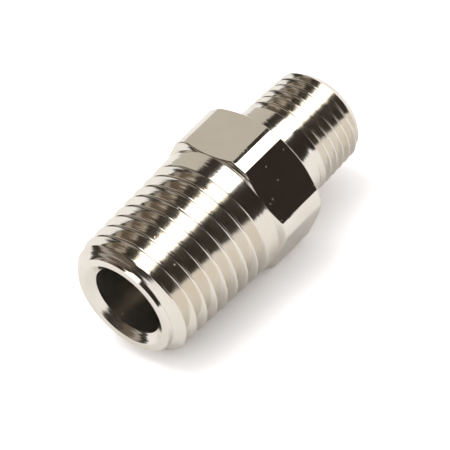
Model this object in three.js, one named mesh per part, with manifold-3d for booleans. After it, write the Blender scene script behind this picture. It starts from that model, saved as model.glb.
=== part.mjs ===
// Hex reducing nipple: one piece of nickel-plated brass turned from hexagon bar, with a male
// taper pipe thread at each end, a hexagon collar between them and a stepped bore right through.
// Millimetres. The thread axis is X, the large thread points to -X and the small one to +X, +Z is up,
// a flat of the hexagon faces down, and the origin is on the axis, half-way along the part.

import * as THREE from "three";
import { ParametricGeometry } from "three/addons/geometries/ParametricGeometry.js";
import { mergeVertices } from "three/addons/utils/BufferGeometryUtils.js";
import Module from "manifold-3d";

// Lengths along the axis, counted from the large end.
const largeEndLength = 14.05;
const hexLength = 6.2;
const smallEndLength = 9.15;

// Hexagon collar: its corners are turned round and both its ends are chamfered. The depth turned
// off each corner and the chamfer's start inside the flats are counted from the bar's own size.
const acrossFlats = 13.7;
const cornerTurnedOff = 0.46;
const chamferInsideFlats = 0.35;
const hexChamferAngle = 30;

// Large thread: taper pipe thread, 18 turns to the inch.
const largeThread = {
  pitch: 25.4 / 18,
  crestRadius: 6.36,
  crestFlat: 0.16,
  rootFlat: 0.1,
  neckLength: 0.65,
  faceRadius: 5.3,
  startAngle: 42,
  segments: 40,
};

// Small thread: taper pipe thread, 27 turns to the inch.
const smallThread = {
  pitch: 25.4 / 27,
  crestRadius: 4.84,
  crestFlat: 0.12,
  rootFlat: 0.08,
  neckLength: 1.9,
  faceRadius: 3.95,
  startAngle: -19,
  segments: 32,
};

// Both threads: the radius grows by 1 in 32 towards the hexagon, and the flanks stand 30 degrees
// off square. The thread dies out towards the hexagon over a part of a turn.
const taperPerLength = 1 / 32;
const flankAngle = 30;
const fadeTurns = 0.6;

// Lead chamfer of both threads, from the rim of the end face out to the crests.
const leadChamferAngle = 45;

// Stepped bore with a drill-point cone at the step, which lies inside the hexagon, and at each end
// a countersink that is wider than the bore by its width all round.
const largeBoreDiameter = 7.5;
const smallBoreDiameter = 6;
const stepInsideHex = 3.55;
const drillPointAngle = 59;
const largeCountersink = { width: 0.8, depth: 0.65 };
const smallCountersink = { width: 0.45, depth: 0.4 };

// Facets round the plain turned surfaces, and how far the bore's cutter runs past each end.
const hexSegments = 72;
const boreSegments = 48;
const cutterReach = 1;

const totalLength = largeEndLength + hexLength + smallEndLength;
const hexStart = largeEndLength;
const hexEnd = largeEndLength + hexLength;

const wasm = await Module();
wasm.setup();

function radians(degrees) {
  return THREE.MathUtils.degToRad(degrees);
}

// A closed three.js geometry as a solid that can be joined and cut. Faces that closed up to a line
// when their corners were merged are left out.
function solidOf(geometry) {
  const bare = geometry.clone();
  bare.deleteAttribute("normal");
  bare.deleteAttribute("uv");
  const merged = mergeVertices(bare, 1e-4);
  const corners = merged.index.array;
  const faces = [];
  for (let i = 0; i < corners.length; i += 3) {
    const [a, b, c] = corners.slice(i, i + 3);
    if (a !== b && b !== c && c !== a) {
      faces.push(a, b, c);
    }
  }
  const mesh = new wasm.Mesh({
    numProp: 3,
    vertProperties: new Float32Array(merged.attributes.position.array),
    triVerts: new Uint32Array(faces),
  });
  return new wasm.Manifold(mesh);
}

function geometryOf(solid) {
  const mesh = solid.getMesh();
  const geometry = new THREE.BufferGeometry();
  geometry.setAttribute("position", new THREE.BufferAttribute(mesh.vertProperties, 3));
  geometry.setIndex(new THREE.BufferAttribute(mesh.triVerts, 1));
  geometry.computeVertexNormals();
  return geometry;
}

// A turned solid about X from its outline of [radius, distance from the large end].
function turned(outline, segments) {
  const points = outline.map(([radius, distance]) => new THREE.Vector2(radius, distance));
  const geometry = new THREE.LatheGeometry(points, segments);
  geometry.rotateZ(-Math.PI / 2);
  return solidOf(geometry);
}

// How deep a groove is: its flanks take up what the flats of crest and root leave.
function grooveDepth(thread) {
  const flankRun = (thread.pitch - thread.crestFlat - thread.rootFlat) / 2;
  return flankRun / Math.tan(radians(flankAngle));
}

// Where the metal's surface is, at a distance from the end face and a share of a turn round from
// the start: on the taper cone, less the nearest groove, and never outside the lead chamfer.
function threadSurface(thread, length, distance, around) {
  const groove = Math.round(distance / thread.pitch - around);
  const centre = (groove + around) * thread.pitch;
  const flankRun = Math.max(0, Math.abs(distance - centre) - thread.rootFlat / 2);
  const depth = Math.max(0, grooveDepth(thread) - flankRun / Math.tan(radians(flankAngle)));
  const fadeEnd = length - thread.neckLength - thread.pitch / 2;
  const turnsLeft = (fadeEnd - centre) / thread.pitch;
  const fade = THREE.MathUtils.clamp(turnsLeft / fadeTurns, 0, 1);
  const cone = thread.crestRadius + taperPerLength * distance;
  const chamfer = thread.faceRadius + distance * Math.tan(radians(leadChamferAngle));
  return Math.min(cone - depth * fade, chamfer);
}

// A threaded end as one closed skin, with its face at 0 and its axis along X. The rows of the skin
// follow the helix: four to a groove, where its section bends. One turn on, each row meets the
// row four further along. Rows past either end gather on the rim there.
function threadedEnd(thread, length) {
  const halfOpening = (thread.pitch - thread.crestFlat) / 2;
  const halfRoot = thread.rootFlat / 2;
  const bends = [-halfOpening, -halfRoot, halfRoot, halfOpening];
  const grooves = Math.ceil(length / thread.pitch) + 3;
  const lastRow = grooves * bends.length + 2;
  const foot = length + hexLength / 2;

  function place(around, along, target) {
    const row = Math.round(along * lastRow);
    const turn = around % 1;
    const angle = radians(thread.startAngle) + turn * 2 * Math.PI;
    let distance = row === 0 ? 0 : foot;
    let radius = 0;
    if (row === lastRow - 1) {
      radius = threadSurface(thread, length, length, 0);
    } else if (row > 0 && row < lastRow) {
      const groove = Math.floor((row - 1) / bends.length);
      const centre = (groove - 1 + around) * thread.pitch;
      distance = THREE.MathUtils.clamp(centre + bends[(row - 1) % bends.length], 0, length);
      radius = threadSurface(thread, length, distance, turn);
    }
    target.set(distance, radius * Math.cos(angle), radius * Math.sin(angle));
  }

  return new ParametricGeometry(place, thread.segments, lastRow);
}

// The hexagon bar between the threads, inside a barrel that rounds its corners and bevels its ends.
function hexCollar() {
  const outline = new THREE.Shape();
  for (let corner = 0; corner < 6; corner += 1) {
    const angle = radians(30 + 60 * corner);
    const reach = acrossFlats / 2 / Math.cos(radians(30));
    const place = [reach * Math.cos(angle), reach * Math.sin(angle)];
    if (corner === 0) {
      outline.moveTo(...place);
    } else {
      outline.lineTo(...place);
    }
  }
  outline.closePath();
  const bar = new THREE.ExtrudeGeometry(outline, { depth: hexLength, bevelEnabled: false });
  bar.rotateY(Math.PI / 2);
  bar.translate(hexStart, 0, 0);
  const cornerRadius = acrossFlats / 2 / Math.cos(radians(30)) - cornerTurnedOff;
  const faceRadius = acrossFlats / 2 - chamferInsideFlats;
  const bevel = (cornerRadius - faceRadius) * Math.tan(radians(hexChamferAngle));
  const barrel = [
    [0, hexStart],
    [faceRadius, hexStart],
    [cornerRadius, hexStart + bevel],
    [cornerRadius, hexEnd - bevel],
    [faceRadius, hexEnd],
    [0, hexEnd],
  ];
  return solidOf(bar).intersect(turned(barrel, hexSegments));
}

// How wide a countersink's cone has grown where its cutter starts, outside the end face.
function flaredRadius(boreRadius, countersink) {
  return boreRadius + countersink.width * (1 + cutterReach / countersink.depth);
}

// What is drilled out: the large bore, the drill-point cone, the small bore and both countersinks.
function boreCore() {
  const largeRadius = largeBoreDiameter / 2;
  const smallRadius = smallBoreDiameter / 2;
  const stepStart = hexStart + stepInsideHex;
  const conePoint = (largeRadius - smallRadius) / Math.tan(radians(drillPointAngle));
  const largeMouth = flaredRadius(largeRadius, largeCountersink);
  const smallMouth = flaredRadius(smallRadius, smallCountersink);
  const outline = [
    [0, -cutterReach],
    [largeMouth, -cutterReach],
    [largeRadius, largeCountersink.depth],
    [largeRadius, stepStart],
    [smallRadius, stepStart + conePoint],
    [smallRadius, totalLength - smallCountersink.depth],
    [smallMouth, totalLength + cutterReach],
    [0, totalLength + cutterReach],
  ];
  return turned(outline, boreSegments);
}

function nippleBody() {
  const largeEnd = threadedEnd(largeThread, largeEndLength);
  const smallEnd = threadedEnd(smallThread, smallEndLength);
  smallEnd.rotateZ(Math.PI);
  smallEnd.translate(totalLength, 0, 0);
  const outside = solidOf(largeEnd).add(solidOf(smallEnd)).add(hexCollar());
  const geometry = geometryOf(outside.subtract(boreCore()));
  geometry.translate(-totalLength / 2, 0, 0);
  const nickel = new THREE.MeshStandardMaterial({ color: 0xd8d2c6, roughness: 0.18, metalness: 1 });
  const mesh = new THREE.Mesh(geometry, nickel);
  mesh.name = "hex_nipple_body";
  return mesh;
}

const nipple = new THREE.Group();
nipple.add(nippleBody());

export default nipple;
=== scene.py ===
import math

import bpy
from mathutils import Matrix, Vector

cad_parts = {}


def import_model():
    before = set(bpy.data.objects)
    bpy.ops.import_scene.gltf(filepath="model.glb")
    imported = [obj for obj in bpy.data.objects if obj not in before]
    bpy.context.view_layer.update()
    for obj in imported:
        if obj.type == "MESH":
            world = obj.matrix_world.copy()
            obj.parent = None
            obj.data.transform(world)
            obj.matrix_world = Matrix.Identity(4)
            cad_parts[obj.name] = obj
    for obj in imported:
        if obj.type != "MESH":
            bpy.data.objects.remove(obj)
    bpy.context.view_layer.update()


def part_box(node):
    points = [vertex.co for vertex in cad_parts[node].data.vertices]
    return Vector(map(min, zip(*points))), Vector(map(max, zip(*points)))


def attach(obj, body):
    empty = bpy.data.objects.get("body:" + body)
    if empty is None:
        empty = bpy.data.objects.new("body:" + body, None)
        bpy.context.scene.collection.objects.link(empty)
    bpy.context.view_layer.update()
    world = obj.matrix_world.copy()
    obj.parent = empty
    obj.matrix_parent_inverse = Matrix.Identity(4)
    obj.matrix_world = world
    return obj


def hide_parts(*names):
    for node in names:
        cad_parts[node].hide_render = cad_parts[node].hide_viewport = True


# Hex reducing nipple, nickel-plated: two taper threads with a hexagon collar between them and a
# stepped bore right through. The axis is X and the large thread points to -X. Shapes are made in
# millimetres about the frame's origin, and the finished mesh is scaled to metres at the end.

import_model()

MM = 0.001
NODE = "hex_nipple_body"
low, high = (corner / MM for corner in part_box(NODE))
HALF_LENGTH = high.x
FLAT_RADIUS = high.z
BOX_MARGIN = 0.001
CORNER_RADIUS = high.y - BOX_MARGIN

# Lengths along the axis and the collar's chamfers.
LARGE_END_LENGTH = 14.05
SMALL_END_LENGTH = 9.15
HEX_START = LARGE_END_LENGTH - HALF_LENGTH
HEX_END = HALF_LENGTH - SMALL_END_LENGTH
HEX_LENGTH = HEX_END - HEX_START
CHAMFER_INSIDE_FLATS = 0.35
CHAMFER_ANGLE = math.radians(30)
EDGE_BREAK = 0.10
CORNER_BREAK = 1.2
BAR_OVERHANG = 2

# Both threads are cut with a 60 degree tool on a cone that grows by 1 in 32 towards the collar.
TAPER = 1 / 32
FLANK = math.tan(math.radians(30))
FADE_TURNS = 0.6
ROOT_ROUNDING = 0.07
RIM_ROUNDING = 0.06
LARGE_THREAD = {
    "side": -1, "length": LARGE_END_LENGTH, "pitch": 25.4 / 18, "crest_radius": 6.36,
    "crest_flat": 0.16, "root_flat": 0.10, "neck": 0.65, "face_radius": 5.3, "crest_rounding": 0.11,
    "start": math.radians(42), "columns": 240,
}
SMALL_THREAD = {
    "side": 1, "length": SMALL_END_LENGTH, "pitch": 25.4 / 27, "crest_radius": 4.84,
    "crest_flat": 0.12, "root_flat": 0.08, "neck": 1.9, "face_radius": 3.95, "crest_rounding": 0.08,
    "start": math.radians(-19), "columns": 192,
}

# Stepped bore.
LARGE_BORE_RADIUS = 3.75
SMALL_BORE_RADIUS = 3.0
STEP_START = HEX_START + 3.55
DRILL_POINT = math.tan(math.radians(59))
LARGE_COUNTERSINK = (0.8, 0.65)
SMALL_COUNTERSINK = (0.45, 0.4)
MOUTH_ROUNDING = 0.06
CUTTER_REACH = 1.0

# Metal: the plate's clean and warm tints, and the colour of nicks and dust.
NICKEL_CLEAN = (0.86, 0.825, 0.765)
NICKEL_WARM = (0.82, 0.765, 0.68)
SPECK_COLOUR = (0.9, 0.88, 0.84)
SPECK_SHARPNESS = 30

# Camera: azimuth, elevation and roll in degrees, then millimetres.
VIEW_ANGLES = (-38.758, 42.005, -16.241)
VIEW_TARGET = Vector((-1.7, 0, 0))
VIEW_DISTANCE = 400
VIEW_OFFSET = (1.039, -0.758)
VIEW_WIDTH = 41.425

# Studio, in metres and watts. Beyond 1 the floor's colour for the camera only whitens it.
FLOOR_RADIUS = 0.13
FLOOR_COLOUR = (0.88, 0.88, 0.88)
FLOOR_TO_CAMERA = (1.32, 1.34, 1.38)
CARD_DISTANCE = 0.5
DOME_DISTANCE = 0.6
DARK_ROOM = (1.0, 0.78, 0.62)
GREY_WALL = (1.0, 0.94, 0.84)
LAMP_WHITE = (1.0, 0.98, 0.95)
SKY_STRENGTH = 0.95
SKY_COLOUR = (1.0, 0.96, 0.93)
KEY_ENERGY = 0.55
KEY_SIZE = 0.3
KEY_COLOUR = (0.9, 0.96, 1.0)
KEY_PLACE = Vector((-0.03, 0.12, 0.48))


# ---------------------------------------------------------------------------------------------
# Modelling helpers
# ---------------------------------------------------------------------------------------------

def deselect_all():
    bpy.ops.object.select_all(action="DESELECT")


def only(piece):
    """Make a piece the one that operators act on."""
    deselect_all()
    piece.select_set(True)
    bpy.context.view_layer.objects.active = piece
    return piece


def named(name):
    piece = bpy.context.active_object
    piece.name = name
    piece.data.name = name
    return piece


def tidy_mesh(piece, gap=5e-5):
    """Merge the corners that meet and turn all faces outwards."""
    only(piece)
    bpy.ops.object.mode_set(mode="EDIT")
    bpy.ops.mesh.select_all(action="SELECT")
    bpy.ops.mesh.remove_doubles(threshold=gap)
    bpy.ops.mesh.normals_make_consistent(inside=False)
    bpy.ops.object.mode_set(mode="OBJECT")
    return piece


def finish_modifier(piece, kind, **settings):
    """Add a modifier with its settings and apply it."""
    only(piece)
    modifier = piece.modifiers.new(kind.lower(), kind)
    for setting, value in settings.items():
        setattr(modifier, setting, value)
    bpy.ops.object.modifier_apply(modifier=modifier.name)
    return piece


def combine(piece, other, operation):
    """Join, cut or intersect a piece with another one, which is used up."""
    finish_modifier(piece, "BOOLEAN", operation=operation, solver="MANIFOLD", object=other)
    bpy.data.objects.remove(other)
    return piece


def turned(name, outline, steps):
    """A closed solid spun about X from its outline of (place along the axis, radius)."""
    bpy.ops.mesh.primitive_plane_add()
    piece = named(name)
    corners = [(along, radius, 0) for along, radius in outline]
    links = [(i, i + 1) for i in range(len(corners) - 1)]
    piece.data.clear_geometry()
    piece.data.from_pydata(corners, links, [])
    only(piece)
    bpy.ops.object.mode_set(mode="EDIT")
    bpy.ops.mesh.select_all(action="SELECT")
    bpy.ops.mesh.spin(steps=steps, angle=2 * math.pi, center=(0, 0, 0), axis=(1, 0, 0))
    bpy.ops.object.mode_set(mode="OBJECT")
    return tidy_mesh(piece)


def soft_max(a, b, rounding):
    blend = max(rounding - abs(a - b), 0) / rounding
    return max(a, b) + blend * blend * rounding / 4


def soft_min(a, b, rounding):
    return -soft_max(-a, -b, rounding)


# ---------------------------------------------------------------------------------------------
# Threads
# ---------------------------------------------------------------------------------------------

def full_depth(thread):
    return (thread["pitch"] - thread["crest_flat"] - thread["root_flat"]) / 2 / FLANK


def surface_radius(thread, distance, around):
    """The metal's radius at a distance from the end face and a share of a turn from the start."""
    pitch = thread["pitch"]
    centre = (round(distance / pitch - around) + around) * pitch
    past_root = abs(distance - centre) - thread["root_flat"] / 2
    flank = full_depth(thread) - past_root / FLANK
    depth = soft_min(full_depth(thread), soft_max(0, flank, thread["crest_rounding"]), ROOT_ROUNDING)
    fade_end = thread["length"] - thread["neck"] - pitch / 2
    fade = min(max((fade_end - centre) / pitch / FADE_TURNS, 0), 1)
    cone = thread["crest_radius"] + TAPER * distance
    chamfer = thread["face_radius"] + distance
    return soft_min(cone - depth * fade, chamfer, RIM_ROUNDING)


def groove_rows(thread):
    """Places across a groove where its section bends: crest edges, flanks and root."""
    half_opening = (thread["pitch"] - thread["crest_flat"]) / 2
    crest = thread["crest_rounding"] * FLANK
    root = thread["root_flat"] / 2 + ROOT_ROUNDING * FLANK
    half = [root, half_opening - crest, half_opening, half_opening + crest]
    return [-place for place in reversed(half)] + [0] + half


def threaded_end(name, thread):
    """A threaded end as one skin: a grid whose rows follow the helix, so that one turn on, each
    row meets the same row of the next groove. It starts with the end face and its broken rim."""
    across = groove_rows(thread)
    pitch, length, columns = thread["pitch"], thread["length"], thread["columns"]
    grooves = math.ceil(length / pitch) + 3
    first_row = 3
    foot_row = first_row + grooves * len(across)
    rows = foot_row + 1
    foot = length + HEX_LENGTH / 2

    def place(row, column):
        around = column / columns
        turn = around % 1
        if row == 0 or row == rows:
            distance, radius = (0, 0) if row == 0 else (foot, 0)
        elif row < first_row:
            distance = RIM_ROUNDING * (0, 0.3)[row - 1]
            radius = surface_radius(thread, RIM_ROUNDING, turn) - RIM_ROUNDING * (1, 0.35)[row - 1]
        elif row == foot_row:
            distance, radius = foot, surface_radius(thread, length, 0)
        else:
            groove, bend = divmod(row - first_row, len(across))
            centre = (groove - 1 + around) * pitch
            distance = min(max(centre + across[bend], RIM_ROUNDING), length)
            radius = surface_radius(thread, distance, turn)
        angle = thread["start"] + turn * 2 * math.pi
        along = thread["side"] * (HALF_LENGTH - distance)
        return along, -thread["side"] * radius * math.cos(angle), radius * math.sin(angle)

    bpy.ops.mesh.primitive_grid_add(x_subdivisions=rows, y_subdivisions=columns, size=1)
    piece = named(name)
    for corner in piece.data.vertices:
        row = round((corner.co.x + 0.5) * rows)
        column = round((corner.co.y + 0.5) * columns)
        corner.co = place(row, column)
    return tidy_mesh(piece)


# ---------------------------------------------------------------------------------------------
# Collar, bore and the whole body
# ---------------------------------------------------------------------------------------------

def collar():
    """The hexagon between the threads: a longer bar with broken corners, cut by a turned barrel
    that rounds the corners and chamfers both ends."""
    middle = (HEX_START + HEX_END) / 2
    to_axis = (0, math.radians(90), 0)
    reach = FLAT_RADIUS / math.cos(math.radians(30))
    bpy.ops.mesh.primitive_cylinder_add(
        vertices=6, radius=reach, depth=HEX_LENGTH + 2 * BAR_OVERHANG, location=(middle, 0, 0),
        rotation=to_axis)
    hexagon = named("collar")
    bpy.ops.object.transform_apply(location=True, rotation=True)
    turn_flat_up(hexagon)
    finish_modifier(hexagon, "BEVEL", width=CORNER_BREAK, segments=2)
    face_radius = FLAT_RADIUS - CHAMFER_INSIDE_FLATS
    chamfer = (CORNER_RADIUS - face_radius) * math.tan(CHAMFER_ANGLE)
    barrel = turned("collar_barrel", [
        (HEX_START, 0), (HEX_START, face_radius), (HEX_START + chamfer, CORNER_RADIUS),
        (HEX_END - chamfer, CORNER_RADIUS), (HEX_END, face_radius), (HEX_END, 0)], 240)
    combine(hexagon, barrel, "INTERSECT")
    finish_modifier(hexagon, "BEVEL", width=EDGE_BREAK, segments=2, limit_method="ANGLE",
                    angle_limit=math.radians(20))
    return hexagon


def turn_flat_up(hexagon):
    """Turn a hexagon bar about X so that one of its flats faces straight up."""
    side = max(hexagon.data.polygons, key=lambda face: face.normal.z)
    lean = math.atan2(side.normal.y, side.normal.z)
    hexagon.data.transform(Matrix.Rotation(lean, 4, "X"))


def bore_cutter():
    cone_length = (LARGE_BORE_RADIUS - SMALL_BORE_RADIUS) / DRILL_POINT
    large_mouth = LARGE_BORE_RADIUS + LARGE_COUNTERSINK[0]
    small_mouth = SMALL_BORE_RADIUS + SMALL_COUNTERSINK[0]
    rim = MOUTH_ROUNDING
    return turned("bore_cutter", [
        (-HALF_LENGTH - CUTTER_REACH, 0),
        (-HALF_LENGTH - CUTTER_REACH, large_mouth + rim * 2),
        (-HALF_LENGTH - rim / 4, large_mouth + rim),
        (-HALF_LENGTH + rim / 4, large_mouth + rim / 4),
        (-HALF_LENGTH + rim, large_mouth - rim),
        (-HALF_LENGTH + LARGE_COUNTERSINK[1], LARGE_BORE_RADIUS),
        (STEP_START, LARGE_BORE_RADIUS),
        (STEP_START + cone_length, SMALL_BORE_RADIUS),
        (HALF_LENGTH - SMALL_COUNTERSINK[1], SMALL_BORE_RADIUS),
        (HALF_LENGTH - rim, small_mouth - rim),
        (HALF_LENGTH - rim / 4, small_mouth + rim / 4),
        (HALF_LENGTH + rim / 4, small_mouth + rim),
        (HALF_LENGTH + CUTTER_REACH, small_mouth + rim * 2),
        (HALF_LENGTH + CUTTER_REACH, 0)], 160)


def finish_of(face):
    """Which finish a face has: 0 turned, 1 drawn flat of the hexagon, 2 bored."""
    outward = Vector((0, face.center.y, face.center.z)).normalized()
    inwards = face.normal.dot(outward) < -0.2
    if inwards and math.hypot(face.center.y, face.center.z) < LARGE_BORE_RADIUS:
        return 2
    on_collar = HEX_START < face.center.x < HEX_END
    reach = face.normal.dot(face.center)
    if on_collar and abs(face.normal.x) < 0.01 and abs(reach - FLAT_RADIUS) < 0.004:
        return 1
    return 0


def nipple_body():
    body = threaded_end("nipple_body", LARGE_THREAD)
    combine(body, threaded_end("small_end", SMALL_THREAD), "UNION")
    combine(body, collar(), "UNION")
    combine(body, bore_cutter(), "DIFFERENCE")
    body.data.materials.clear()
    for finish in (turned_nickel(), drawn_nickel(), bored_nickel()):
        body.data.materials.append(finish)
    for face in body.data.polygons:
        face.material_index = finish_of(face)
    only(body)
    bpy.ops.object.shade_smooth_by_angle(angle=math.radians(38))
    finish_modifier(body, "WEIGHTED_NORMAL", mode="FACE_AREA", keep_sharp=True)
    body.data.transform(Matrix.Scale(MM, 4))
    return body


# ---------------------------------------------------------------------------------------------
# Materials
# ---------------------------------------------------------------------------------------------

def node_group(name, inputs, output):
    """An empty shader group with number inputs, a vector input called Place and one output."""
    group = bpy.data.node_groups.new(name, "ShaderNodeTree")
    group.interface.new_socket("Place", in_out="INPUT", socket_type="NodeSocketVector")
    for socket, value in inputs.items():
        made = group.interface.new_socket(socket, in_out="INPUT", socket_type="NodeSocketFloat")
        made.default_value = value
    group.interface.new_socket(output, in_out="OUTPUT", socket_type="NodeSocketFloat")
    start = group.nodes.new("NodeGroupInput")
    end = group.nodes.new("NodeGroupOutput")
    return group, start, end


def math_node(tree, operation, *values):
    node = tree.nodes.new("ShaderNodeMath")
    node.operation = operation
    for i, value in enumerate(values):
        if isinstance(value, (int, float)):
            node.inputs[i].default_value = value
        else:
            tree.links.new(value, node.inputs[i])
    return node.outputs[0]


def noise_node(tree, place, scale, detail=2, roughness=0.5):
    node = tree.nodes.new("ShaderNodeTexNoise")
    node.inputs["Detail"].default_value = detail
    node.inputs["Roughness"].default_value = roughness
    tree.links.new(place, node.inputs["Vector"])
    if isinstance(scale, (int, float)):
        node.inputs["Scale"].default_value = scale
    else:
        tree.links.new(scale, node.inputs["Scale"])
    return node.outputs["Fac"]


def turning_marks_group():
    """Rings round X left by a cutting tool: a height from fine and coarse rings."""
    group, start, end = node_group(
        "turning_marks", {"Rings per metre": 9000, "Unevenness": 0.03}, "Height")
    split = group.nodes.new("ShaderNodeVectorMath")
    split.operation = "MULTIPLY"
    stretch = group.nodes.new("ShaderNodeCombineXYZ")
    stretch.inputs["X"].default_value = 1
    group.links.new(start.outputs["Unevenness"], stretch.inputs["Y"])
    group.links.new(start.outputs["Unevenness"], stretch.inputs["Z"])
    group.links.new(start.outputs["Place"], split.inputs[0])
    group.links.new(stretch.outputs[0], split.inputs[1])
    rings = start.outputs["Rings per metre"]
    fine = noise_node(group, split.outputs[0], rings, 1)
    coarse = noise_node(group, split.outputs[0], math_node(group, "MULTIPLY", rings, 0.28), 1)
    height = math_node(group, "ADD", fine, math_node(group, "MULTIPLY", coarse, 1.6))
    group.links.new(height, end.inputs["Height"])
    return group


def specks_group():
    """A mask of small scattered specks: nicks in the plating and grains of dust."""
    group, start, end = node_group("specks", {"Specks per metre": 900, "Share": 0.1}, "Mask")
    cells = group.nodes.new("ShaderNodeTexVoronoi")
    cells.feature = "F1"
    group.links.new(start.outputs["Place"], cells.inputs["Vector"])
    group.links.new(start.outputs["Specks per metre"], cells.inputs["Scale"])
    size = math_node(group, "MULTIPLY", cells.outputs["Color"], start.outputs["Share"])
    inside = math_node(group, "SUBTRACT", size, cells.outputs["Distance"])
    mask = math_node(group, "MULTIPLY", inside, SPECK_SHARPNESS)
    mask.node.use_clamp = True
    group.links.new(mask, end.inputs["Mask"])
    return group


def placed_group(tree, group, place, values):
    node = tree.nodes.new("ShaderNodeGroup")
    node.node_tree = group
    tree.links.new(place, node.inputs["Place"])
    for socket, value in values.items():
        node.inputs[socket].default_value = value
    return node.outputs[0]


def nickel(name, marks, roughness, mark_depth, waviness, specks):
    """Bright nickel plate: ring or grain marks, plating ripple, specks and uneven gloss."""
    material = bpy.data.materials.new(name)
    material.use_nodes = True
    tree = material.node_tree
    shader = tree.nodes["Principled BSDF"]
    shader.inputs["Metallic"].default_value = 1.0
    place = tree.nodes.new("ShaderNodeTexCoord").outputs["Object"]

    cloud = noise_node(tree, place, 260, 3)
    tint = tree.nodes.new("ShaderNodeValToRGB")
    tint.color_ramp.elements[0].position = 0.3
    tint.color_ramp.elements[0].color = (*NICKEL_WARM, 1)
    tint.color_ramp.elements[1].position = 0.7
    tint.color_ramp.elements[1].color = (*NICKEL_CLEAN, 1)
    tree.links.new(cloud, tint.inputs["Fac"])

    spots = placed_group(tree, SPECKS, place, specks)
    dusted = tree.nodes.new("ShaderNodeMix")
    dusted.data_type = "RGBA"
    dusted.inputs["B"].default_value = (*SPECK_COLOUR, 1)
    tree.links.new(math_node(tree, "MULTIPLY", spots, 0.6), dusted.inputs["Factor"])
    tree.links.new(tint.outputs["Color"], dusted.inputs["A"])
    tree.links.new(dusted.outputs["Result"], shader.inputs["Base Color"])

    haze = math_node(tree, "MULTIPLY_ADD", noise_node(tree, place, 900, 4, 0.6),
                     roughness * 0.9, roughness * 0.55)
    gloss = math_node(tree, "MULTIPLY_ADD", spots, 0.25, haze)
    tree.links.new(gloss, shader.inputs["Roughness"])

    height = placed_group(tree, TURNING_MARKS, place, marks)
    ripple = math_node(tree, "MULTIPLY", noise_node(tree, place, 650, 2), waviness)
    dents = math_node(tree, "MULTIPLY", spots, -0.4)
    total = math_node(tree, "ADD", height, math_node(tree, "ADD", ripple, dents))
    bump = tree.nodes.new("ShaderNodeBump")
    bump.inputs["Strength"].default_value = 1.0
    bump.inputs["Distance"].default_value = mark_depth
    tree.links.new(total, bump.inputs["Height"])
    tree.links.new(bump.outputs["Normal"], shader.inputs["Normal"])
    return material


TURNING_MARKS = turning_marks_group()
SPECKS = specks_group()


def turned_nickel():
    return nickel("nickel_turned", {"Rings per metre": 4500, "Unevenness": 0.03},
                  0.14, 3.2e-5, 0.12, {"Specks per metre": 700, "Share": 0.09})


def drawn_nickel():
    return nickel("nickel_drawn", {"Rings per metre": 700, "Unevenness": 0.8},
                  0.11, 2.0e-6, 1.0, {"Specks per metre": 1300, "Share": 0.15})


def bored_nickel():
    metal = nickel("nickel_bored", {"Rings per metre": 6000, "Unevenness": 0.05},
                   0.2, 2.0e-5, 0.3, {"Specks per metre": 900, "Share": 0.08})
    metal.node_tree.nodes["Principled BSDF"].inputs["Metallic"].default_value = 0.995
    return metal


# ---------------------------------------------------------------------------------------------
# Studio: floor, cards that the metal reflects, lamps and camera
# ---------------------------------------------------------------------------------------------

def light_rays_seen(tree):
    """1 for the rays of the camera and of mirror-like surfaces, else 0."""
    path = tree.nodes.new("ShaderNodeLightPath").outputs
    glossy = math_node(tree, "MAXIMUM", path["Is Camera Ray"], path["Is Glossy Ray"])
    return math_node(tree, "MAXIMUM", glossy, path["Is Transmission Ray"])


def world(sky_strength):
    """White behind everything, and a soft sky of its own strength that lights the floor."""
    made = bpy.data.worlds.new("studio")
    bpy.context.scene.world = made
    made.use_nodes = True
    tree = made.node_tree
    background = tree.nodes["Background"]
    seen = light_rays_seen(tree)
    strength = math_node(tree, "MULTIPLY_ADD", seen, 1 - sky_strength, sky_strength)
    tree.links.new(strength, background.inputs["Strength"])
    tint = tree.nodes.new("ShaderNodeMix")
    tint.data_type = "RGBA"
    tint.inputs["A"].default_value = (*SKY_COLOUR, 1)
    tint.inputs["B"].default_value = (1, 1, 1, 1)
    tree.links.new(seen, tint.inputs["Factor"])
    tree.links.new(tint.outputs["Result"], background.inputs["Color"])


def floor():
    """A round pale floor, brighter to the camera so that it runs out into the white."""
    bpy.ops.mesh.primitive_circle_add(
        vertices=96, radius=FLOOR_RADIUS, fill_type="NGON", location=(0, 0, low.z * MM))
    piece = named("floor")
    material = bpy.data.materials.new("pale_floor")
    material.use_nodes = True
    tree = material.node_tree
    tree.nodes.remove(tree.nodes["Principled BSDF"])
    paper = tree.nodes.new("ShaderNodeBsdfDiffuse")
    shade = tree.nodes.new("ShaderNodeMix")
    shade.data_type = "RGBA"
    shade.clamp_result = False
    shade.inputs["A"].default_value = (*FLOOR_COLOUR, 1)
    shade.inputs["B"].default_value = (*FLOOR_TO_CAMERA, 1)
    path = tree.nodes.new("ShaderNodeLightPath").outputs
    tree.links.new(path["Is Camera Ray"], shade.inputs["Factor"])
    tree.links.new(shade.outputs["Result"], paper.inputs["Color"])
    tree.links.new(paper.outputs[0], tree.nodes["Material Output"].inputs["Surface"])
    piece.data.materials.append(material)


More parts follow.
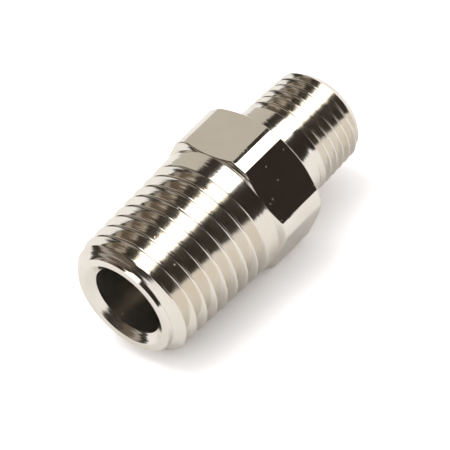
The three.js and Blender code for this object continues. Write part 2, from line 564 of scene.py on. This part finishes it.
def card(name, sides, ends, colour, strength, distance):
    """A patch of a sphere round the object that only reflections see, in degrees: sides turn
    about X from -Y over the top to +Y, ends lean away from +X towards -X."""
    bpy.ops.mesh.primitive_grid_add(x_subdivisions=24, y_subdivisions=24, size=1)
    piece = named(name)
    for corner in piece.data.vertices:
        side = math.radians(sides[0] + (sides[1] - sides[0]) * (corner.co.x + 0.5))
        end = math.radians(ends[0] + (ends[1] - ends[0]) * (corner.co.y + 0.5))
        across = math.sin(end)
        corner.co = distance * Vector((
            math.cos(end), -across * math.cos(side), across * math.sin(side)))
    material = bpy.data.materials.new(name)
    material.use_nodes = True
    tree = material.node_tree
    tree.nodes.remove(tree.nodes["Principled BSDF"])
    glow = tree.nodes.new("ShaderNodeEmission")
    glow.inputs["Color"].default_value = (*colour, 1)
    glow.inputs["Strength"].default_value = strength
    tree.links.new(glow.outputs[0], tree.nodes["Material Output"].inputs["Surface"])
    piece.data.materials.append(material)
    piece.visible_camera = False
    piece.visible_diffuse = False
    piece.visible_shadow = False
    piece.visible_transmission = False
    return piece


def camera():
    """A long lens from the left and above, turned a little about its own axis."""
    azimuth, elevation, roll = (math.radians(v) for v in VIEW_ANGLES)
    back = Vector((math.sin(azimuth) * math.cos(elevation),
                   -math.cos(azimuth) * math.cos(elevation), math.sin(elevation)))
    level = Vector((math.cos(azimuth), math.sin(azimuth), 0))
    upright = back.cross(level)
    right = level * math.cos(roll) + upright * math.sin(roll)
    up = upright * math.cos(roll) - level * math.sin(roll)
    place = VIEW_TARGET + back * VIEW_DISTANCE + right * VIEW_OFFSET[0] + up * VIEW_OFFSET[1]
    data = bpy.data.cameras.new("camera")
    data.sensor_width = 36
    data.lens = data.sensor_width * VIEW_DISTANCE / VIEW_WIDTH
    data.clip_start = 0.01
    data.clip_end = 10
    seen = bpy.data.objects.new("camera", data)
    bpy.context.scene.collection.objects.link(seen)
    seen.matrix_world = Matrix((
        (right.x, up.x, back.x, place.x * MM),
        (right.y, up.y, back.y, place.y * MM),
        (right.z, up.z, back.z, place.z * MM),
        (0, 0, 0, 1)))
    bpy.context.scene.camera = seen


def studio():
    world(SKY_STRENGTH)
    floor()
    card("dark_room", (0, 180), (1, 179), DARK_ROOM, 0.028, DOME_DISTANCE)
    card("strip_light", (58, 94), (22, 158), LAMP_WHITE, 2.4, CARD_DISTANCE)
    card("grey_wall", (121, 180), (20, 78), GREY_WALL, 0.58, CARD_DISTANCE)
    card("brown_wall", (119, 152), (78, 165), DARK_ROOM, 0.14, CARD_DISTANCE)
    card("beige_wall", (152, 165), (78, 165), GREY_WALL, 0.4, CARD_DISTANCE)
    key_lamp()


def key_lamp():
    """A soft lamp behind the part, which throws the shadow along its near side."""
    lamp = bpy.data.lights.new("key", "AREA")
    lamp.shape = "DISK"
    lamp.size = KEY_SIZE
    lamp.energy = KEY_ENERGY
    lamp.color = KEY_COLOUR
    key = bpy.data.objects.new("key", lamp)
    key.location = KEY_PLACE
    key.rotation_mode = "QUATERNION"
    key.rotation_quaternion = key.location.to_track_quat("Z", "Y")
    key.visible_glossy = False
    bpy.context.scene.collection.objects.link(key)


body = nipple_body()
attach(body, "root")
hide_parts(NODE)
camera()
studio()
bpy.context.scene.view_settings.view_transform = "Standard"
